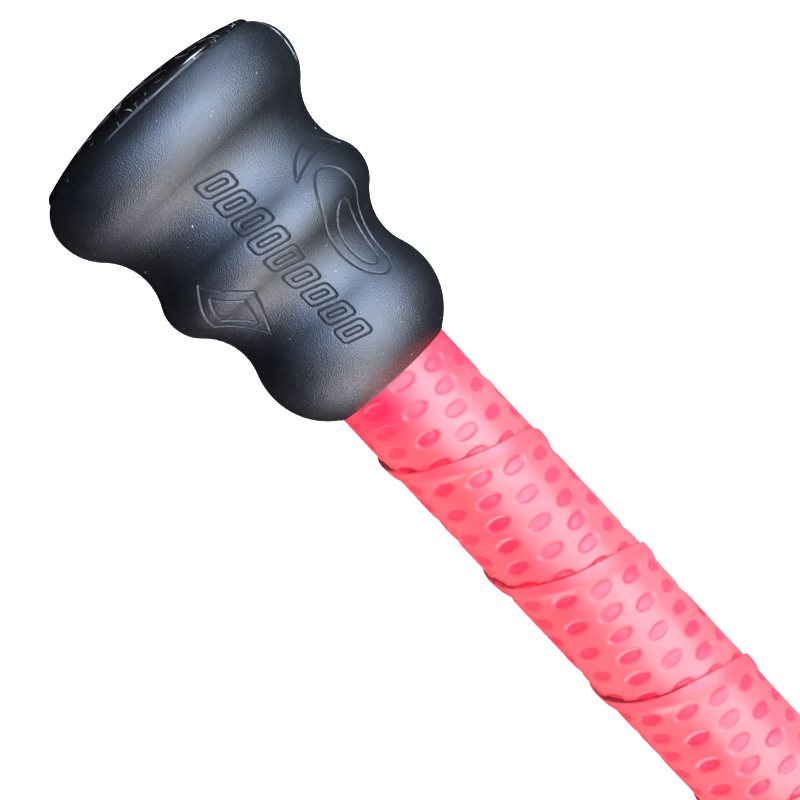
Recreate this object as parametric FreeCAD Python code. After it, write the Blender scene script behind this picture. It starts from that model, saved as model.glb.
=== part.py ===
"""Swing trainer stick: a slim ball-bat trainer with a taped handle and a finger-grooved knob sleeve.

The stick lies along X, from the knob's dome at -X to the barrel's end at +X, and the origin is the
middle of its length on its axis. +Z is the side that the sleeve's marks face.

The handle is a straight tube with a hard knob bonded into its butt. A grip tape is wound on it and
closed by a finishing tape. A moulded sleeve with finger grooves is stretched over the knob and the
first turns of tape, and leaves only the knob's dome bare. The barrel is a second shell, bonded to the
handle over a bushing behind a rubber ring. Stations named *_U are distances along X from the plane
of the sleeve's rim.
"""

import FreeCAD, Part
import math
import os

V = FreeCAD.Vector

# Whole stick
LENGTH = 812.8                     # 32 in, dome to barrel end
DOME_HEIGHT = 5.4                  # the knob's dome stands this far out of the sleeve's rim
RIM_X = -LENGTH / 2 + DOME_HEIGHT
BARREL_END_U = LENGTH - DOME_HEIGHT

# Handle tube
HANDLE_R = 11.9                    # 15/16 in handle
WALL = 2.0
HANDLE_BORE_R = HANDLE_R - WALL
HANDLE_END_U = 448.0

# Knob, its weight and the handle's damper
KNOB_R = 25.3
KNOB_EDGE = 1.6                    # round between dome and side
KNOB_ROUND = 4.0
KNOB_FLARE = 9.0
KNOB_END_U = 24.0                  # where the flare meets the handle tube
STEM_LENGTH = 30.0
POCKET_U = 2.0                     # floor of the blind pocket that the stem opens into
POCKET_R = 6.5
WEIGHT_LENGTH = 28.0
DAMPER_U = 70.0
DAMPER_LENGTH = 110.0

# Grip tape and finishing tape
TAPE_R = 12.8                      # 0.9 mm tape on the handle
TAPE_END_U = 302.0
FINISH_TAPE = 0.3
FINISH_OVERLAP = 9.0
FINISH_LENGTH = 19.0

# Knob sleeve: two finger grooves between three lobes, all tangent arcs
GROOVE_A_U = 22.3
GROOVE_A_R = 21.9
GROOVE_A_ARC = 11.25
GROOVE_B_R = 18.05
GROOVE_B_ARC = 10.9
LOBE_1_R = 28.7
LOBE_1_ARC = 10.8
LOBE_1_SHOULDER = 8.0
LOBE_2_R = 24.2
LOBE_2_ARC = 7.8
LOBE_3_R = 19.7
LOBE_3_ARC = 15.0
LOBE_3_NOSE = 14.3
MOUTH_U = 66.5

# Barrel shell, its joint to the handle and its end
BARREL_R = 22.225                  # 1 3/4 in barrel
NECK_U = 390.0
NECK_R = 15.6
TAPER_START_U = 450.0
TAPER_LENGTH = 180.0
RING_LENGTH = 20.0
RING_EDGE = 0.8
CAP_LIP = 4.0                      # the end cap's lip beyond the shell
CAP_ROUND = 2.5
CAP_PLUG = 22.0
CAP_FACE = 3.0
END_WEIGHT_R = 16.0
END_WEIGHT_LENGTH = 14.0
FOAM_LENGTH = 80.0
SHELL_END_U = BARREL_END_U - CAP_LIP
BARREL_BORE_R = BARREL_R - WALL


def at(u, r):
    """The point r from the axis at station u, in the XZ plane."""
    return V(RIM_X + u, 0, r)


def line(start, end):
    return Part.LineSegment(at(*start), at(*end)).toShape()


def arc(centre, radius, start, end):
    """An arc about centre between two points on it, the short way round."""
    a = math.atan2(start[1] - centre[1], start[0] - centre[0])
    b = math.atan2(end[1] - centre[1], end[0] - centre[0])
    turn = (b - a + math.pi) % (2 * math.pi) - math.pi
    middle = a + turn / 2
    on_arc = (centre[0] + radius * math.cos(middle), centre[1] + radius * math.sin(middle))
    return Part.Arc(at(*start), at(*on_arc), at(*end)).toShape()


def corners(*points):
    """The straight edges through the points."""
    return [line(a, b) for a, b in zip(points, points[1:])]


def turned(edges):
    """The solid that closed edges in the XZ plane sweep about the axis."""
    face = Part.Face(Part.Wire(Part.__sortEdges__(edges)))
    return face.revolve(V(0, 0, 0), V(1, 0, 0), 360)


def tube(start_u, end_u, inner_r, outer_r):
    """A plain ring, or a disc where inner_r is 0."""
    return turned(corners((start_u, inner_r), (start_u, outer_r), (end_u, outer_r), (end_u, inner_r),
                          (start_u, inner_r)))


def between(centre_a, radius_a, centre_b, radius_b):
    """Where two circles that touch from outside meet."""
    share = radius_a / (radius_a + radius_b)
    return tuple(a + (b - a) * share for a, b in zip(centre_a, centre_b))


def touching(u, r, radius, other_r, other_radius, side):
    """The centre, at height other_r, of a circle that touches the circle at (u, r)."""
    reach = radius + other_radius
    return (u + side * math.sqrt(reach ** 2 - (r - other_r) ** 2), other_r)


def sleeve_outline():
    """The sleeve's outside from its rim to its mouth: edges, first point and last point."""
    groove_a = (GROOVE_A_U, GROOVE_A_R + GROOVE_A_ARC)
    lobe_1 = touching(*groove_a, GROOVE_A_ARC, LOBE_1_R - LOBE_1_ARC, LOBE_1_ARC, -1)
    lobe_2 = touching(*groove_a, GROOVE_A_ARC, LOBE_2_R - LOBE_2_ARC, LOBE_2_ARC, 1)
    groove_b = touching(*lobe_2, LOBE_2_ARC, GROOVE_B_R + GROOVE_B_ARC, GROOVE_B_ARC, 1)
    lobe_3 = touching(*groove_b, GROOVE_B_ARC, LOBE_3_R - LOBE_3_ARC, LOBE_3_ARC, 1)

    shoulder = (lobe_1[0], LOBE_1_R - LOBE_1_SHOULDER)
    rim = (0.0, shoulder[1] + math.sqrt(LOBE_1_SHOULDER ** 2 - shoulder[0] ** 2))
    crest_1 = (lobe_1[0], LOBE_1_R)
    into_a = between(lobe_1, LOBE_1_ARC, groove_a, GROOVE_A_ARC)
    out_of_a = between(lobe_2, LOBE_2_ARC, groove_a, GROOVE_A_ARC)
    into_b = between(lobe_2, LOBE_2_ARC, groove_b, GROOVE_B_ARC)
    out_of_b = between(lobe_3, LOBE_3_ARC, groove_b, GROOVE_B_ARC)
    crest_3 = (lobe_3[0], LOBE_3_R)
    nose = (lobe_3[0], LOBE_3_R - LOBE_3_NOSE)
    mouth = (MOUTH_U, nose[1] + math.sqrt(LOBE_3_NOSE ** 2 - (MOUTH_U - nose[0]) ** 2))

    edges = [
        arc(shoulder, LOBE_1_SHOULDER, rim, crest_1),
        arc(lobe_1, LOBE_1_ARC, crest_1, into_a),
        arc(groove_a, GROOVE_A_ARC, into_a, out_of_a),
        arc(lobe_2, LOBE_2_ARC, out_of_a, into_b),
        arc(groove_b, GROOVE_B_ARC, into_b, out_of_b),
        arc(lobe_3, LOBE_3_ARC, out_of_b, crest_3),
        arc(nose, LOBE_3_NOSE, crest_3, mouth),
    ]
    return edges, rim, mouth


def knob_outline():
    """The knob's outside from the middle of its dome to the end of its flare."""
    edge_r = KNOB_R - KNOB_EDGE
    dome_r = (edge_r ** 2 + DOME_HEIGHT ** 2 - KNOB_EDGE ** 2) / (2 * (DOME_HEIGHT - KNOB_EDGE))
    dome = (dome_r - DOME_HEIGHT, 0.0)
    lean = math.atan2(edge_r, dome[0])
    dome_edge = (dome[0] - dome_r * math.cos(lean), dome_r * math.sin(lean))
    dome_edges = [
        arc(dome, dome_r, (-DOME_HEIGHT, 0.0), dome_edge),
        arc((0.0, edge_r), KNOB_EDGE, dome_edge, (0.0, KNOB_R)),
    ]

    flare = (KNOB_END_U, HANDLE_R + KNOB_FLARE)
    corner = touching(*flare, KNOB_FLARE, KNOB_R - KNOB_ROUND, KNOB_ROUND, -1)
    meet = between(corner, KNOB_ROUND, flare, KNOB_FLARE)
    side_edges = [
        line((0.0, KNOB_R), (corner[0], KNOB_R)),
        arc(corner, KNOB_ROUND, (corner[0], KNOB_R), meet),
        arc(flare, KNOB_FLARE, meet, (KNOB_END_U, HANDLE_R)),
    ]
    return dome_edges, side_edges


def bat_knob():
    """Hard domed knob with a stem in the handle, hollow from the stem's end."""
    dome_edges, side_edges = knob_outline()
    stem_end = KNOB_END_U + STEM_LENGTH
    stem = corners((KNOB_END_U, HANDLE_R), (KNOB_END_U, HANDLE_BORE_R), (stem_end, HANDLE_BORE_R),
                   (stem_end, POCKET_R), (POCKET_U, POCKET_R), (POCKET_U, 0.0), (-DOME_HEIGHT, 0.0))
    return turned(dome_edges + side_edges + stem)


def knob_weight():
    return tube(POCKET_U, POCKET_U + WEIGHT_LENGTH, 0.0, POCKET_R)


def knob_sleeve():
    """The moulded sleeve: lobes and finger grooves outside, the knob's own shape inside."""
    edges, rim, mouth = sleeve_outline()
    side_edges = knob_outline()[1]
    inside = corners(mouth, (MOUTH_U, TAPE_R), (KNOB_END_U, TAPE_R), (KNOB_END_U, HANDLE_R))
    return turned(edges + inside + side_edges + [line((0.0, KNOB_R), rim)])


def handle_tube():
    return tube(KNOB_END_U, HANDLE_END_U, HANDLE_BORE_R, HANDLE_R)


def handle_damper():
    return tube(DAMPER_U, DAMPER_U + DAMPER_LENGTH, 0.0, HANDLE_BORE_R)


def grip_tape():
    """The wound tape as one plain sleeve of its outer size."""
    return tube(KNOB_END_U, TAPE_END_U, HANDLE_R, TAPE_R)


def finish_tape():
    """The finishing tape: half on the grip tape, half on the bare handle, with the step between."""
    start = TAPE_END_U - FINISH_OVERLAP
    end = start + FINISH_LENGTH
    step = TAPE_END_U + TAPE_R - HANDLE_R
    return turned(corners((start, TAPE_R), (start, TAPE_R + FINISH_TAPE), (TAPE_END_U, TAPE_R + FINISH_TAPE),
                          (step, HANDLE_R + FINISH_TAPE), (end, HANDLE_R + FINISH_TAPE), (end, HANDLE_R),
                          (TAPE_END_U, HANDLE_R), (TAPE_END_U, TAPE_R), (start, TAPE_R)))


def transition_ring():
    """Rubber cone that closes the step from the handle up to the barrel's neck."""
    start = NECK_U - RING_LENGTH
    return turned(corners((start, HANDLE_R), (start, HANDLE_R + RING_EDGE), (NECK_U, NECK_R),
                          (NECK_U, HANDLE_R), (start, HANDLE_R)))


def connection_bushing():
    return tube(NECK_U, HANDLE_END_U, HANDLE_R, NECK_R - WALL)


def taper_edges(inset):
    """Two tangent arcs from neck to barrel, set in from the outside."""
    rise = BARREL_R - NECK_R
    radius = (TAPER_LENGTH ** 2 + rise ** 2) / (4 * rise)
    hollow = (TAPER_START_U, NECK_R + radius)
    crown = (TAPER_START_U + TAPER_LENGTH, BARREL_R - radius)
    meet = between(hollow, radius + inset, crown, radius - inset)
    return [arc(hollow, radius + inset, (hollow[0], NECK_R - inset), meet),
            arc(crown, radius - inset, meet, (crown[0], BARREL_R - inset))]


def barrel_shell():
    """Neck, taper and barrel in one aluminium shell."""
    taper_end = TAPER_START_U + TAPER_LENGTH
    outside = corners((NECK_U, NECK_R - WALL), (NECK_U, NECK_R), (TAPER_START_U, NECK_R))
    end = corners((taper_end, BARREL_R), (SHELL_END_U, BARREL_R), (SHELL_END_U, BARREL_BORE_R),
                  (taper_end, BARREL_BORE_R))
    inside = [line((TAPER_START_U, NECK_R - WALL), (NECK_U, NECK_R - WALL))]
    return turned(outside + taper_edges(0.0) + end + taper_edges(WALL) + inside)


def barrel_end_cap():
    """Urethane cap: a lip with a rounded rim, and a cup that plugs the barrel and holds the weight."""
    rim = (BARREL_END_U - CAP_ROUND, BARREL_R - CAP_ROUND)
    floor_u = BARREL_END_U - CAP_FACE
    cup_u = SHELL_END_U - CAP_PLUG
    edges = corners((BARREL_END_U, rim[1]), (BARREL_END_U, 0.0), (floor_u, 0.0), (floor_u, END_WEIGHT_R),
                    (cup_u, END_WEIGHT_R), (cup_u, BARREL_BORE_R), (SHELL_END_U, BARREL_BORE_R),
                    (SHELL_END_U, BARREL_R), (rim[0], BARREL_R))
    return turned(edges + [arc(rim, CAP_ROUND, (rim[0], BARREL_R), (BARREL_END_U, rim[1]))])


def barrel_weight():
    floor_u = BARREL_END_U - CAP_FACE
    return tube(floor_u - END_WEIGHT_LENGTH, floor_u, 0.0, END_WEIGHT_R)


def barrel_foam():
    end = SHELL_END_U - CAP_PLUG
    return tube(end - FOAM_LENGTH, end, 0.0, BARREL_BORE_R)


NODES = {
    "knob_sleeve": knob_sleeve,
    "bat_knob": bat_knob,
    "knob_weight": knob_weight,
    "handle_tube": handle_tube,
    "handle_damper": handle_damper,
    "grip_tape": grip_tape,
    "finish_tape": finish_tape,
    "transition_ring": transition_ring,
    "connection_bushing": connection_bushing,
    "barrel_shell": barrel_shell,
    "barrel_foam": barrel_foam,
    "barrel_weight": barrel_weight,
    "barrel_end_cap": barrel_end_cap,
}

os.makedirs("parts", exist_ok=True)
for name, make in NODES.items():
    solid = make()
    if not solid.isValid():
        raise ValueError(f"{name} is not a valid solid")
    solid.exportStep(f"parts/{name}.step")
    print(f"{name}: {solid.Volume / 1000:.2f} cm3")
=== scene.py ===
"""Looks of the swing trainer stick, in metres, in the row's frame: X from knob to barrel, +Z up."""

import math

import bpy
import numpy as np
from mathutils import Matrix, Vector


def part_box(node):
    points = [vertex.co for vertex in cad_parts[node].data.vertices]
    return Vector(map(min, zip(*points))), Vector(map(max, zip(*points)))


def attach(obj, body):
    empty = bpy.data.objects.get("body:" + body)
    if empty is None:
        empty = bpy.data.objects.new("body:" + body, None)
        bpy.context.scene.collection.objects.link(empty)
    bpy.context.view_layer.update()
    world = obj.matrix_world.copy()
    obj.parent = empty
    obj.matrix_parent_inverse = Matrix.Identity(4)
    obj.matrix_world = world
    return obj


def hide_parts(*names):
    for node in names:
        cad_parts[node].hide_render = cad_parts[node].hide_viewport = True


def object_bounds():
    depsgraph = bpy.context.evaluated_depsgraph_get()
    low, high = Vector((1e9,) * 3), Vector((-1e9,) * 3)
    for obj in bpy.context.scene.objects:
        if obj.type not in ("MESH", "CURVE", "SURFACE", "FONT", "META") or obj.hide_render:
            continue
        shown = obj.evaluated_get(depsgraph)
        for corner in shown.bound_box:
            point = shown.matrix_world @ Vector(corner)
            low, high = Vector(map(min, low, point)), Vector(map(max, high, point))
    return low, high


MM = 0.001

# The knob sleeve's outline, as in the part: stations are mm from the rim plane
DOME_HEIGHT = 5.4
GROOVE_A_U = 22.3
GROOVE_A_R = 21.9
GROOVE_A_ARC = 11.25
GROOVE_B_R = 18.05
GROOVE_B_ARC = 10.9
LOBE_1_R = 28.7
LOBE_1_ARC = 10.8
LOBE_1_SHOULDER = 8.0
LOBE_2_R = 24.2
LOBE_2_ARC = 7.8
LOBE_3_R = 19.7
LOBE_3_ARC = 15.0
LOBE_3_NOSE = 14.3
MOUTH_U = 66.5
KNOB_R = 25.3
KNOB_EDGE = 1.6
KNOB_END_U = 24.0
HANDLE_R = 11.9
TAPE_R = 12.8
TAPE_END_U = 302.0
FINISH_START_U = 293.0

# Marks moulded into the sleeve: grooves around plain closed shapes
MARK_DEPTH = 0.50
MARK_WIDTH = 0.135
SLOT_U = 18.6                      # the first of a row of nine slots
SLOT_PITCH = 4.45
SLOT_COUNT = 9
SLOT_SLANT = 0.3                   # mm along the stick for each mm across it
MARK_FLAT_R = 21.0                 # the marks are laid out on a cylinder of this radius
MARKED_SIDE = (-70.0, 88.0)        # degrees of turn that carry marks and need a fine grid
FINE_TURN = 0.3                    # degrees
PLAIN_TURN = 3.0
SLEEVE_ROWS = 560

# Grip tape winding
LEAD = 30.3
SEAM_U = 86.0                      # a seam crosses the upper side here
OVERLAP = 2.6
OVERLAP_RISE = 0.6
SEAM_LINE = 0.17                   # width of the dark line under an edge: grime and painted shade
MOUTH_SHADE_LENGTH = 12.0                   # length of the deeper red from the sleeve's mouth: painted shade of the sleeve, where the tape is also stretched
BAND_DEEPER = 0.40                 # how much of the dimples' painted-shade red the overlap band also has
DIMPLE_MARGIN = 4.9                # from the tape's edge to its first dimple
DIMPLE_ROW = 7.4
DIMPLE_LONG = 2.75
DIMPLE_WIDE = 1.4
DIMPLE_LEAN = 14.0                 # degrees from the tape's direction
DIMPLE_DEPTH = 0.34
TAPE_STEP = 0.30                   # mesh step around the handle

# View of the knob end, from above
VIEW_STATION = 78.5                # the view's middle is near this point of the axis, mm from the dome
VIEW_DISTANCE = 397.0
VIEW_TILT = 6.0                    # the stick leans away from the camera, degrees
VIEW_ROLL = 46.9                   # it runs down to the right at this angle
VIEW_ALONG = 1.8                   # and the camera stands this far back towards the knob
VIEW_ACROSS = 2.3                  # and this far to -Y, mm
FOCAL_IN_WIDTHS = 2.6

LIGHT_DISTANCE = 1.2               # m from the middle of the sleeve
LIT_STATION = 0.04                 # m from the dome to that middle
FLOOR_HALF = 3.0                   # m


# ---------------------------------------------------------------- shapes

def sleeve_radius(u):
    """The sleeve's outer radius at stations u, from its chain of tangent arcs."""
    def centre(start, arc, peak, other, side):
        reach = arc + other
        return start[0] + side * math.sqrt(reach ** 2 - (start[1] - peak) ** 2), peak

    def meet(a, arc_a, b, arc_b):
        return a[0] + (b[0] - a[0]) * arc_a / (arc_a + arc_b)

    def bump(middle, arc):
        return middle[1] + np.sqrt(np.maximum(arc ** 2 - (u - middle[0]) ** 2, 0))

    def dip(middle, arc):
        return middle[1] - np.sqrt(np.maximum(arc ** 2 - (u - middle[0]) ** 2, 0))

    groove_a = (GROOVE_A_U, GROOVE_A_R + GROOVE_A_ARC)
    lobe_1 = centre(groove_a, GROOVE_A_ARC, LOBE_1_R - LOBE_1_ARC, LOBE_1_ARC, -1)
    lobe_2 = centre(groove_a, GROOVE_A_ARC, LOBE_2_R - LOBE_2_ARC, LOBE_2_ARC, 1)
    groove_b = centre(lobe_2, LOBE_2_ARC, GROOVE_B_R + GROOVE_B_ARC, GROOVE_B_ARC, 1)
    lobe_3 = centre(groove_b, GROOVE_B_ARC, LOBE_3_R - LOBE_3_ARC, LOBE_3_ARC, 1)
    shoulder = (lobe_1[0], LOBE_1_R - LOBE_1_SHOULDER)
    nose = (lobe_3[0], LOBE_3_R - LOBE_3_NOSE)
    arcs = [
        (lobe_1[0], bump(shoulder, LOBE_1_SHOULDER)),
        (meet(lobe_1, LOBE_1_ARC, groove_a, GROOVE_A_ARC), bump(lobe_1, LOBE_1_ARC)),
        (meet(groove_a, GROOVE_A_ARC, lobe_2, LOBE_2_ARC), dip(groove_a, GROOVE_A_ARC)),
        (meet(lobe_2, LOBE_2_ARC, groove_b, GROOVE_B_ARC), bump(lobe_2, LOBE_2_ARC)),
        (meet(groove_b, GROOVE_B_ARC, lobe_3, LOBE_3_ARC), dip(groove_b, GROOVE_B_ARC)),
        (lobe_3[0], bump(lobe_3, LOBE_3_ARC)),
    ]
    return np.select([u < end for end, _ in arcs], [r for _, r in arcs], bump(nose, LOBE_3_NOSE))


def grid_mesh(name, points, around, material, along=False):
    """A smooth mesh from a rows x columns x 3 array in mm, closed around, and along when asked."""
    rows, columns = points.shape[:2]
    index = np.arange(rows * columns).reshape(rows, columns)
    if along:
        index = np.vstack([index, index[:1]])
    if around:
        index = np.hstack([index, index[:, :1]])
    faces = np.stack([index[:-1, :-1], index[:-1, 1:], index[1:, 1:], index[1:, :-1]], axis=-1)
    mesh = bpy.data.meshes.new(name)
    mesh.from_pydata((points.reshape(-1, 3) * MM).tolist(), [], faces.reshape(-1, 4).tolist())
    mesh.polygons.foreach_set("use_smooth", np.ones(len(mesh.polygons), bool))
    mesh.materials.append(material)
    mesh.update()
    piece = bpy.data.objects.new(name, mesh)
    bpy.context.scene.collection.objects.link(piece)
    return piece


def store(piece, name, values):
    """Keeps one value per vertex for the material to read."""
    attribute = piece.data.attributes.new(name, "FLOAT", "POINT")
    attribute.data.foreach_set("value", values.ravel().astype(np.float32))


def on_cylinder(u, r, turn):
    """Points in mm at station u and radius r; turn is 0 on the upper side and grows towards +Y."""
    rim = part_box("bat_knob")[0].x / MM + DOME_HEIGHT
    u, r, turn = np.broadcast_arrays(u, r, turn)
    return np.stack([rim + u, r * np.sin(turn), r * np.cos(turn)], axis=-1)


def arc_points(centre, radius, start, end, count):
    """Points in (u, r) on an arc, its angles in degrees."""
    angles = np.radians(np.linspace(start, end, count))
    return np.stack([centre[0] + radius * np.cos(angles), centre[1] + radius * np.sin(angles)], axis=-1)


# ---------------------------------------------------------------- marks on the sleeve

def slanted_slot(u, a, at_u, long, wide, corner):
    """Distance to a rounded, slanted bar on the upper side: long across the stick and wide along it."""
    w = u - at_u - SLOT_SLANT * a
    dv = np.abs(a) - (long / 2 - corner)
    dw = np.abs(w) - (wide / 2 - corner)
    outside = np.hypot(np.maximum(dv, 0), np.maximum(dw, 0))
    return outside + np.minimum(np.maximum(dv, dw), 0) - corner


def oval(u, a, at_u, at_a, half_u, half_a):
    """Distance to an ellipse, good near its outline."""
    p, q = (u - at_u) / half_u, (a - at_a) / half_a
    level = np.hypot(p, q)
    slope = np.hypot(p / half_u, q / half_a)
    return np.where(slope > 1e-6, level * (level - 1) / np.maximum(slope, 1e-6), -min(half_u, half_a))


def diamond(u, a, at_u, at_a, half_u, half_a):
    """Distance to a diamond with its points along and across the stick."""
    return (np.abs(u - at_u) / half_u + np.abs(a - at_a) / half_a - 1) / math.hypot(1 / half_u, 1 / half_a)


def crescent(u, a, at_u, at_a, radius, shift_u, bite):
    """Distance to a disc less a wider disc whose centre is shift_u further along the stick."""
    body = np.hypot(u - at_u, a - at_a) - radius
    cut = np.hypot(u - at_u - shift_u, a - at_a) - bite
    return np.maximum(body, -cut)


def lens_with_glint(u, a):
    """Distance to the slim lens on the first lobe's side, whose edge carries a painted pale glint."""
    return oval(u, a, 6.2, 28.4, 5.2, 1.6)


def mark_groove(u, a):
    """Share of full depth at the moulded grooves, at station u and arc a, both in mm."""
    shapes = []
    for i in range(SLOT_COUNT):
        at_u = SLOT_U + SLOT_PITCH * i
        shapes.append(slanted_slot(u, a, at_u, long=6.0, wide=3.3, corner=0.9))
        shapes.append(slanted_slot(u, a, at_u, long=3.6, wide=1.0, corner=0.4))
    shapes += [oval(u, a, 40.0, 14.6, 11.0, 5.4), oval(u, a, 42.0, 14.6, 6.5, 2.9)]
    shapes += [crescent(u, a, 34.0, 18.5, 10.3, 17.3, 24.9)]
    shapes += [diamond(u, a, 37.0, -14.0, half, half * 0.8) for half in (7.6, 4.4)]
    shapes += [lens_with_glint(u, a)]
    groove = np.zeros_like(u)
    for distance in shapes:
        groove = np.maximum(groove, np.exp(-(distance / MARK_WIDTH) ** 2))
    return groove


def build_sleeve(material):
    """The sleeve with its marks: a fine grid on the marked side and a plain one behind."""
    marked_from, marked_to = MARKED_SIDE
    turn = np.radians(np.concatenate([np.arange(marked_from, marked_to, FINE_TURN),
                                      np.arange(marked_to, marked_from + 360, PLAIN_TURN)]))
    u = np.linspace(0.25, MOUTH_U - 0.3, SLEEVE_ROWS)
    r = sleeve_radius(u)
    lip_r = float(sleeve_radius(np.array([0.0]))[0])
    mouth_r = float(sleeve_radius(np.array([MOUTH_U - 0.35]))[0])
    outer_u, angle = np.meshgrid(u, turn, indexing="ij")
    signed = np.arctan2(np.sin(angle), np.cos(angle))
    groove = mark_groove(outer_u, signed * MARK_FLAT_R)
    outer_r = r[:, None] - MARK_DEPTH * groove
    rim = np.array([(3.0, KNOB_R), (0.3, KNOB_R + 0.02), (0.02, KNOB_R + 0.07), (-0.02, KNOB_R + 0.14),
                    (0.03, lip_r - 0.08), (0.12, lip_r - 0.01)])
    mouth = np.array([(MOUTH_U - 0.1, mouth_r - 0.15), (MOUTH_U, mouth_r - 0.35),
                      (MOUTH_U - 0.1, TAPE_R + 0.1), (MOUTH_U - 0.5, TAPE_R + 0.02),
                      (KNOB_END_U + 1, TAPE_R), (KNOB_END_U - 6, TAPE_R + 3), (12.0, KNOB_R)])
    rim_points = on_cylinder(rim[:, :1], rim[:, 1:], turn[None, :])
    mouth_points = on_cylinder(mouth[:, :1], mouth[:, 1:], turn[None, :])
    points = np.concatenate([rim_points, on_cylinder(outer_u, outer_r, angle), mouth_points])
    piece = grid_mesh("knob_sleeve_moulded", points, True, material, along=True)
    # Painted highlight: a pale glint along the lens's edge
    lens_glint_share = np.exp(-((lens_with_glint(outer_u, signed * MARK_FLAT_R) + 0.1) / 0.22) ** 2)
    plain_rim, plain_mouth = np.zeros((len(rim), len(turn))), np.zeros((len(mouth), len(turn)))
    for name, share in (("lens_glint", lens_glint_share), ("groove", groove)):
        store(piece, name, np.concatenate([plain_rim, share, plain_mouth]))
    return piece


# ---------------------------------------------------------------- bat knob

def build_knob(material):
    """The domed knob: dome, rounded edge, and the side down to its flare, hidden in the sleeve."""
    edge_r = KNOB_R - KNOB_EDGE
    dome_r = (edge_r ** 2 + DOME_HEIGHT ** 2 - KNOB_EDGE ** 2) / (2 * (DOME_HEIGHT - KNOB_EDGE))
    lean = math.degrees(math.atan2(edge_r, dome_r - DOME_HEIGHT))
    dome = arc_points((dome_r - DOME_HEIGHT, 0.0), dome_r, 179.9, 180 - lean, 90)
    edge = arc_points((0.0, edge_r), KNOB_EDGE, 180 - lean, 90, 12)[1:]
    side = np.array([(10.0, KNOB_R), (14.0, KNOB_R - 2.5), (17.0, 16.5), (20.0, 13.0),
                     (KNOB_END_U, HANDLE_R)])
    section = np.concatenate([dome, edge, side])
    turn = np.radians(np.arange(0, 360, 1.5))
    points = on_cylinder(section[:, :1], section[:, 1:], turn[None, :])
    return grid_mesh("bat_knob_domed", points, True, material)


# ---------------------------------------------------------------- grip tape

def dimple_share(across, along):
    """Share of full depth at the tape's dimples: rows of six and five in turn, across the tape."""
    row = np.floor(along / DIMPLE_ROW + 0.5)
    offset = along - row * DIMPLE_ROW
    even = np.mod(row, 2) < 0.5
    count = np.where(even, 6, 5)
    pitch = np.where(even, 4.75, 5.85)
    place = np.clip(np.round((across - DIMPLE_MARGIN) / pitch), 0, count - 1)
    aside = across - DIMPLE_MARGIN - place * pitch
    lean = math.radians(DIMPLE_LEAN)
    long = offset * math.cos(lean) - aside * math.sin(lean)
    wide = aside * math.cos(lean) + offset * math.sin(lean)
    level = np.hypot(wide / DIMPLE_WIDE, long / DIMPLE_LONG)
    return 1 / (1 + np.exp(np.clip((level - 0.9) / 0.045, -30, 30)))


def build_tape(material):
    """The wound tape as one helical strip: each turn laps over the last with a sharp edge to the knob."""
    start_turn = -2 * math.pi * (SEAM_U - (MOUTH_U - 12)) / LEAD
    end_turn = 2 * math.pi * (TAPE_END_U - SEAM_U) / LEAD
    turn = np.arange(start_turn - 2 * math.pi, end_turn, TAPE_STEP / TAPE_R)

    def edge(angle):
        wander = 0.35 * np.sin(0.83 * angle + 0.6) + 0.22 * np.sin(2.1 * angle + 1.9)
        wander = wander + 0.1 * np.sin(5.3 * angle)
        return SEAM_U + LEAD * angle / (2 * math.pi) + wander

    near_edge = [0.0, 0.0006, 0.004, 0.010]
    share = np.concatenate([near_edge, np.linspace(0.02, 0.98, 102), np.linspace(0.983, 1, 7)])
    lap = OVERLAP / LEAD
    w = share[None, :]
    rise = OVERLAP_RISE * (1 - 1 / (1 + np.exp(-(w - lap * 1.25) / (lap * 0.16))))
    rise = rise + 0.12 * np.exp(-w / 0.04)
    drop_at_edge = [-1.3, -0.14, -0.04, 0.0]
    corner = np.array(drop_at_edge + [0.0] * (len(share) - len(near_edge)))[None, :]
    low, high = edge(turn)[:, None], edge(turn + 2 * math.pi)[:, None]
    u = low + (high - low) * w
    slope = math.atan2(LEAD, 2 * math.pi * TAPE_R)
    arc = TAPE_R * turn[:, None]
    across = (u - low) * math.cos(slope)
    along = arc / math.cos(slope) + (u - low) * math.sin(slope)
    hollow = dimple_share(across, along)
    wave = 0.05 * np.sin(0.9 * along / 4 + across / 5) * np.sin(across / 3.1 + 1.0)
    u = np.clip(u, KNOB_END_U + 1, TAPE_END_U)
    squeezed = np.clip(np.minimum((u - MOUTH_U - 1.0) / 7.0, (FINISH_START_U - u) / 4.0), 0, 1)
    r = TAPE_R + 0.05 * squeezed + rise * squeezed + corner + wave * squeezed - DIMPLE_DEPTH * hollow
    points = on_cylinder(u, r, turn[:, None])
    piece = grid_mesh("grip_tape_wound", points, False, material)
    band = 1 / (1 + np.exp(-(lap * 1.1 - w) / (lap * 0.1)))
    # Dark line in the crease under each edge: grime and painted shade
    seam = np.exp(-((1 - w) * LEAD / SEAM_LINE) ** 2) + (w < 0.003)
    # Painted shade: deeper red from the sleeve's mouth along the tape, lightest a little to +Y of the top
    # where the highlight falls, deepest on the sides; the tape is also stretched here
    mouth_shade_and_stretch = np.clip((MOUTH_U + MOUTH_SHADE_LENGTH - u) / MOUTH_SHADE_LENGTH * 1.5, 0, 1)
    side = np.sin(turn[:, None])
    mouth_shade_and_stretch = mouth_shade_and_stretch * np.clip(np.maximum(0.70 - 1.2 * side, 0.15 + 0.8 * side), 0, 1)
    # The dimple floors' deeper red is painted shade; the overlap band takes a share of the same red
    shares = {"dimple_shade_and_band": np.maximum(hollow, BAND_DEEPER * band), "seam": seam + 0 * u, "mouth_shade_and_stretch": mouth_shade_and_stretch}
    for name, value in shares.items():
        store(piece, name, value)
    return piece


# ---------------------------------------------------------------- materials

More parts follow.
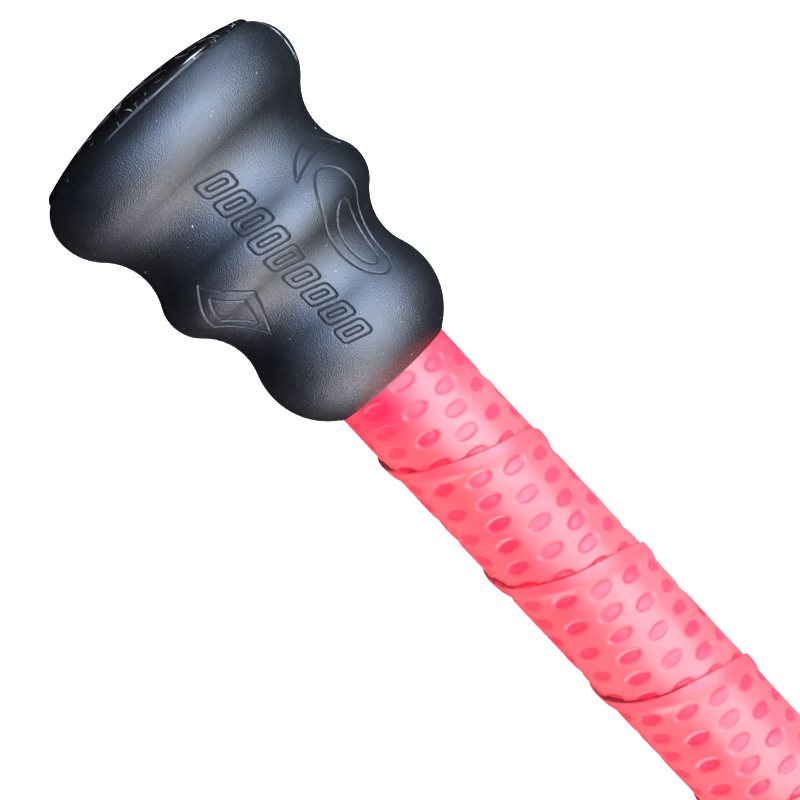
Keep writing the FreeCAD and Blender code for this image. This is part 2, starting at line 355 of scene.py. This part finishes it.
class Nodes:
    """Short calls for building one material's nodes."""

    def __init__(self, name, **sockets):
        self.material = bpy.data.materials.new(name)
        self.material.use_nodes = True
        self.tree = self.material.node_tree
        self.shader = self.tree.nodes["Principled BSDF"]
        for key, value in sockets.items():
            self.shader.inputs[key.replace("_", " ").title().replace("Ior", "IOR")].default_value = value
        self.place = self.tree.nodes.new("ShaderNodeTexCoord").outputs["Object"]

    def add(self, kind, values, **settings):
        node = self.tree.nodes.new(kind)
        for key, value in settings.items():
            setattr(node, key, value)
        for key, value in values.items():
            if isinstance(value, bpy.types.NodeSocket):
                self.tree.links.new(value, node.inputs[key])
            else:
                node.inputs[key].default_value = value
        return node.outputs

    def noise(self, scale, detail=2.0, roughness=0.5, place=None):
        return self.add("ShaderNodeTexNoise", {"Vector": place or self.place, "Scale": scale,
                                               "Detail": detail, "Roughness": roughness})["Fac"]

    def stretch(self, scale, turn_x=0.0):
        """The object's coordinates turned about X, then scaled."""
        turned = self.add("ShaderNodeMapping", {"Vector": self.place, "Rotation": (turn_x, 0, 0)})[0]
        return self.add("ShaderNodeMapping", {"Vector": turned, "Scale": scale})[0]

    def attribute(self, name):
        return self.add("ShaderNodeAttribute", {}, attribute_name=name)["Fac"]

    def ramp(self, value, low, high, start=0.0, end=1.0):
        return self.add("ShaderNodeMapRange", {0: value, 1: low, 2: high, 3: start, 4: end})[0]

    def math(self, operation, a, b):
        return self.add("ShaderNodeMath", {0: a, 1: b}, operation=operation)[0]

    def mix(self, share, a, b):
        return self.add("ShaderNodeMix", {0: share, 6: a, 7: b}, data_type="RGBA")[2]

    def bump(self, height, distance, strength=1.0, normal=None):
        values = {"Height": height, "Distance": distance, "Strength": strength}
        if normal is not None:
            values["Normal"] = normal
        return self.add("ShaderNodeBump", values)["Normal"]

    def use(self, **links):
        for key, socket in links.items():
            self.tree.links.new(socket, self.shader.inputs[key.replace("_", " ").title()])
        return self.material


def sleeve_material():
    """Matte black moulded elastomer: fine satin grain, duller grooves, a few specks of dust and a painted
    pale glint on the lens's edge.
    """
    # The blue specular tint is painted light: it tints all the sleeve's reflections blue, standing in for
    # bluer window light
    m = Nodes("sleeve_rubber", roughness=0.44, specular_ior_level=1.0, specular_tint=(0.72, 0.85, 1.0, 1))
    grain = m.noise(3800, 1.5, 0.6)
    cloud = m.noise(60, 4.0, 0.6)
    dust_and_glint = m.ramp(m.noise(1300, 1.0), 0.79, 0.80)
    colour = m.mix(cloud, (0.0010, 0.0011, 0.0014, 1), (0.0022, 0.0024, 0.0030, 1))
    # The lens's pale edge is a painted glint, mixed with the real dust specks
    dust_and_glint = m.math("MAXIMUM", dust_and_glint, m.math("MULTIPLY", m.attribute("lens_glint"), m.ramp(m.noise(500), 0.35, 0.5)))
    colour = m.mix(m.math("MULTIPLY", dust_and_glint, 0.5), colour, (0.45, 0.46, 0.48, 1))
    rough = m.ramp(m.noise(140, 3.0), 0.3, 0.7, 0.37, 0.45)
    rough = m.math("MAXIMUM", rough, m.math("MULTIPLY", m.attribute("groove"), 0.95))
    return m.use(base_color=colour, roughness=rough, normal=m.bump(grain, 0.00017, 0.85))


def knob_material():
    """Glossy black plastic with fine use scratches and nicks that show white."""
    m = Nodes("knob_gloss", roughness=0.12, specular_ior_level=0.5)
    marks = m.ramp(m.noise(1500, 1.0), 0.77, 0.785)
    for turn_x, length, limit in ((0.35, 70, 0.72), (-0.45, 90, 0.725), (1.25, 60, 0.73), (0.9, 120, 0.72)):
        lines = m.noise(1.0, 1.0, 0.5, m.stretch((300, 2600, length), turn_x))
        marks = m.math("MAXIMUM", marks, m.ramp(lines, limit, limit + 0.03))
    wear = m.ramp(m.noise(110, 3.0), 0.35, 0.65, 0.15, 1.0)
    marks = m.math("MULTIPLY", marks, wear)
    colour = m.mix(marks, (0.004, 0.004, 0.0045, 1), (0.38, 0.38, 0.39, 1))
    rough = m.ramp(m.noise(90, 4.0), 0.3, 0.7, 0.10, 0.22)
    rough = m.math("ADD", rough, m.math("MULTIPLY", marks, 0.4))
    return m.use(base_color=colour, roughness=rough, normal=m.bump(marks, -0.00003, 0.6))


def tape_material():
    """Red polyurethane grip tape: satin skin, painted shade as deeper red in the dimples and near the
    sleeve's mouth, where it is also stretched, and seams darkened by grime and painted shade.
    """
    m = Nodes("grip_polymer", roughness=0.42, specular_ior_level=0.5)
    colour = m.mix(m.noise(45, 4.0, 0.6), (0.78, 0.031, 0.042, 1), (0.88, 0.047, 0.058, 1))
    pale = m.ramp(m.noise(14, 2.0, 0.5), 0.45, 0.75, 0.0, 0.5)
    colour = m.mix(pale, colour, (0.86, 0.075, 0.085, 1))
    # Painted shade: dimple floors deeper red, and the overlap band a share of it
    deeper_red_and_shade = m.math("MULTIPLY", m.attribute("dimple_shade_and_band"), 0.88)
    # Painted shade near the sleeve's mouth, in broken patches
    patches = m.ramp(m.noise(90, 2.0), 0.30, 0.46)
    deeper_red_and_shade = m.math("MAXIMUM", deeper_red_and_shade, m.math("MULTIPLY", m.attribute("mouth_shade_and_stretch"), patches))
    colour = m.mix(deeper_red_and_shade, colour, (0.72, 0.006, 0.034, 1))
    # Grime and painted shade along the seams
    seam_grime_and_shade = m.math("MULTIPLY", m.attribute("seam"), m.ramp(m.noise(150, 3.0), 0.38, 0.54, 0.2, 0.9))
    colour = m.mix(seam_grime_and_shade, colour, (0.14, 0.006, 0.014, 1))
    skin = m.bump(m.noise(1500, 3.0, 0.6), 0.00005, 0.35)
    rough = m.ramp(m.noise(120, 3.0), 0.3, 0.7, 0.34, 0.5)
    return m.use(base_color=colour, roughness=rough, normal=skin)


def alloy_material():
    """Satin black anodised aluminium, turned along its length, with light rub marks."""
    m = Nodes("handle_alloy", metallic=1.0, roughness=0.34)
    lines = m.noise(900, 3.0, 0.6, m.stretch((1, 0.03, 0.03)))
    rub = m.ramp(m.noise(35, 5.0, 0.7), 0.62, 0.78, 0.0, 0.6)
    colour = m.mix(lines, (0.055, 0.056, 0.061, 1), (0.095, 0.097, 0.104, 1))
    colour = m.mix(rub, colour, (0.17, 0.17, 0.175, 1))
    rough = m.ramp(lines, 0.3, 0.7, 0.28, 0.42)
    return m.use(base_color=colour, roughness=rough, normal=m.bump(lines, 0.00002, 0.4))


def rubber_material(name, dark, light, roughness):
    """Matte moulded rubber or urethane with a soft pebble."""
    m = Nodes(name, roughness=roughness)
    colour = m.mix(m.noise(80, 4.0, 0.6), dark, light)
    rough = m.ramp(m.noise(150, 3.0), 0.3, 0.7, roughness - 0.08, roughness + 0.08)
    return m.use(base_color=colour, roughness=rough, normal=m.bump(m.noise(1800, 3.0), 0.00006, 0.5))


def foam_material():
    """Open-cell grey foam."""
    m = Nodes("foam", roughness=0.95)
    cells = m.add("ShaderNodeTexVoronoi", {"Vector": m.place, "Scale": 900})["Distance"]
    colour = m.mix(cells, (0.05, 0.05, 0.055, 1), (0.20, 0.20, 0.21, 1))
    return m.use(base_color=colour, normal=m.bump(cells, 0.0004, 0.8))


def steel_material():
    """Turned steel with fine tool rings."""
    m = Nodes("weight_steel", metallic=1.0, roughness=0.3)
    rings = m.noise(1200, 3.0, 0.6, m.stretch((1, 0.03, 0.03)))
    colour = m.mix(rings, (0.33, 0.34, 0.36, 1), (0.47, 0.48, 0.50, 1))
    rough = m.ramp(rings, 0.3, 0.7, 0.22, 0.4)
    return m.use(base_color=colour, roughness=rough, normal=m.bump(rings, 0.00003, 0.5))


def floor_material():
    """Pale board, lit a little by itself so that the stick's shadow stays faint."""
    m = Nodes("pale_floor", roughness=0.9, emission_color=(1, 1, 1, 1), emission_strength=0.6)
    colour = m.mix(m.noise(6, 3.0), (0.90, 0.90, 0.90, 1), (0.93, 0.93, 0.93, 1))
    return m.use(base_color=colour)


# ---------------------------------------------------------------- stage

def area_light(name, place, target, size, power, colour):
    """A square lamp that faces the target and that the camera doesn't see."""
    data = bpy.data.lights.new(name, "AREA")
    data.shape = "SQUARE"
    data.size = size
    data.energy = power
    data.color = colour
    light = bpy.data.objects.new(name, data)
    light.location = place
    light.rotation_euler = (Vector(target) - Vector(place)).to_track_quat("-Z", "Y").to_euler()
    light.visible_camera = False
    bpy.context.scene.collection.objects.link(light)


def add_floor(low_z, material):
    mesh = bpy.data.meshes.new("floor")
    corners = [(FLOOR_HALF * x, FLOOR_HALF * y, low_z) for x, y in ((-1, -1), (1, -1), (1, 1), (-1, 1))]
    mesh.from_pydata(corners, [], [(0, 1, 2, 3)])
    mesh.materials.append(material)
    floor = bpy.data.objects.new("floor", mesh)
    floor.visible_glossy = False
    bpy.context.scene.collection.objects.link(floor)


def add_camera():
    """Looks down on the knob's end, leaning and rolled so that the stick runs down to the right."""
    tilt, roll = math.radians(VIEW_TILT), math.radians(VIEW_ROLL)
    along_image = Vector((math.cos(roll), math.sin(roll), 0))
    right = Vector((math.cos(tilt) * along_image.x, along_image.y, math.sin(tilt) * along_image.x))
    up = Vector((-math.cos(tilt) * along_image.y, along_image.x, -math.sin(tilt) * along_image.y))
    back = right.cross(up)
    start = Vector((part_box("bat_knob")[0].x + VIEW_STATION * MM, 0, 0))
    along = Vector((math.cos(tilt), 0, math.sin(tilt)))
    offset = along * VIEW_ALONG + Vector((0, VIEW_ACROSS, 0))
    camera = bpy.data.objects.new("camera", bpy.data.cameras.new("camera"))
    camera.data.lens = FOCAL_IN_WIDTHS * camera.data.sensor_width
    camera.data.clip_start = 0.01
    camera.data.dof.use_dof = False
    turn = Matrix((right, up, back)).transposed()
    camera.matrix_world = Matrix.Translation(start - offset * MM + back * VIEW_DISTANCE * MM) @ turn.to_4x4()
    bpy.context.scene.collection.objects.link(camera)
    bpy.context.scene.camera = camera


def light_scene(knob_x):
    """A big soft window above, cooler from the +Y side, with small lights low around for the edges."""
    world = bpy.data.worlds.new("studio")
    world.use_nodes = True
    world.node_tree.nodes["Background"].inputs["Color"].default_value = (0.95, 0.95, 0.95, 1)
    world.cycles_visibility.diffuse = False
    world.cycles_visibility.glossy = False
    bpy.context.scene.world = world
    aim = Vector((knob_x + LIT_STATION, 0, 0))
    neutral, cool, bluish = (1.0, 0.98, 1.0), (0.70, 0.80, 1.0), (0.60, 0.70, 1.0)
    pinkish, warm, amber = (0.95, 0.85, 1.0), (1.0, 0.90, 0.75), (1.0, 0.55, 0.25)
    for name, azimuth, elevation, size, power, colour in (
            ("window", 40, 60, 1.6, 55, neutral),
            ("window_side", 100, 45, 1.2, 30, cool),
            ("ceiling", 210, 75, 1.2, 18, bluish),
            ("right_wall", -40, 10, 0.3, 8, pinkish),
            ("far_wall", -20, 10, 0.3, 6, warm),
            ("far_lamp", -20, 30, 0.3, 4, amber),
            ("left_wall", 140, 5, 0.3, 9, cool)):
        across, up = math.radians(azimuth), math.radians(elevation)
        direction = Vector((math.cos(up) * math.cos(across), math.cos(up) * math.sin(across), math.sin(up)))
        area_light(name, aim + LIGHT_DISTANCE * direction, aim, size, power, colour)


# ---------------------------------------------------------------- build

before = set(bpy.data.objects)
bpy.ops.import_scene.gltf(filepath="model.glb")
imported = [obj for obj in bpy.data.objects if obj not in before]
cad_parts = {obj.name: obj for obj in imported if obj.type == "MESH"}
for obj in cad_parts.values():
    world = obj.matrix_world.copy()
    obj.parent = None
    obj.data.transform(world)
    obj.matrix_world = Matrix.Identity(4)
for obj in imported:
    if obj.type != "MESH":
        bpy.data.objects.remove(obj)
cad_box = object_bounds()

rubber = sleeve_material()
alloy = alloy_material()
steel = steel_material()
foam = foam_material()
black_cap = rubber_material("cap_urethane", (0.010, 0.010, 0.011, 1), (0.018, 0.018, 0.019, 1), 0.5)
ring = rubber_material("ring_rubber", (0.55, 0.03, 0.05, 1), (0.66, 0.045, 0.065, 1), 0.5)
nylon = rubber_material("bushing_nylon", (0.60, 0.57, 0.50, 1), (0.68, 0.65, 0.58, 1), 0.45)
vinyl = rubber_material("finish_tape", (0.012, 0.012, 0.013, 1), (0.020, 0.020, 0.022, 1), 0.32)

pieces = [
    (build_sleeve(rubber), "knob_sleeve", "sleeve_rubber"),
    (build_knob(knob_material()), "bat_knob", "knob_gloss"),
    (build_tape(tape_material()), "grip_tape", "grip_polymer"),
]
for piece, node, material_slot in pieces:
    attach(piece, "root")
    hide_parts(node)

carried = {
    "knob_weight": steel,
    "barrel_weight": steel,
    "handle_tube": alloy,
    "barrel_shell": alloy,
    "handle_damper": foam,
    "barrel_foam": foam,
    "finish_tape": vinyl,
    "transition_ring": ring,
    "connection_bushing": nylon,
    "barrel_end_cap": black_cap,
}
for node, material in carried.items():
    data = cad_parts[node].data
    data.materials.clear()
    data.materials.append(material)

add_floor(cad_box[0][2], floor_material())
add_camera()
light_scene(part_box("bat_knob")[0].x)
bpy.context.scene.view_settings.view_transform = "Standard"
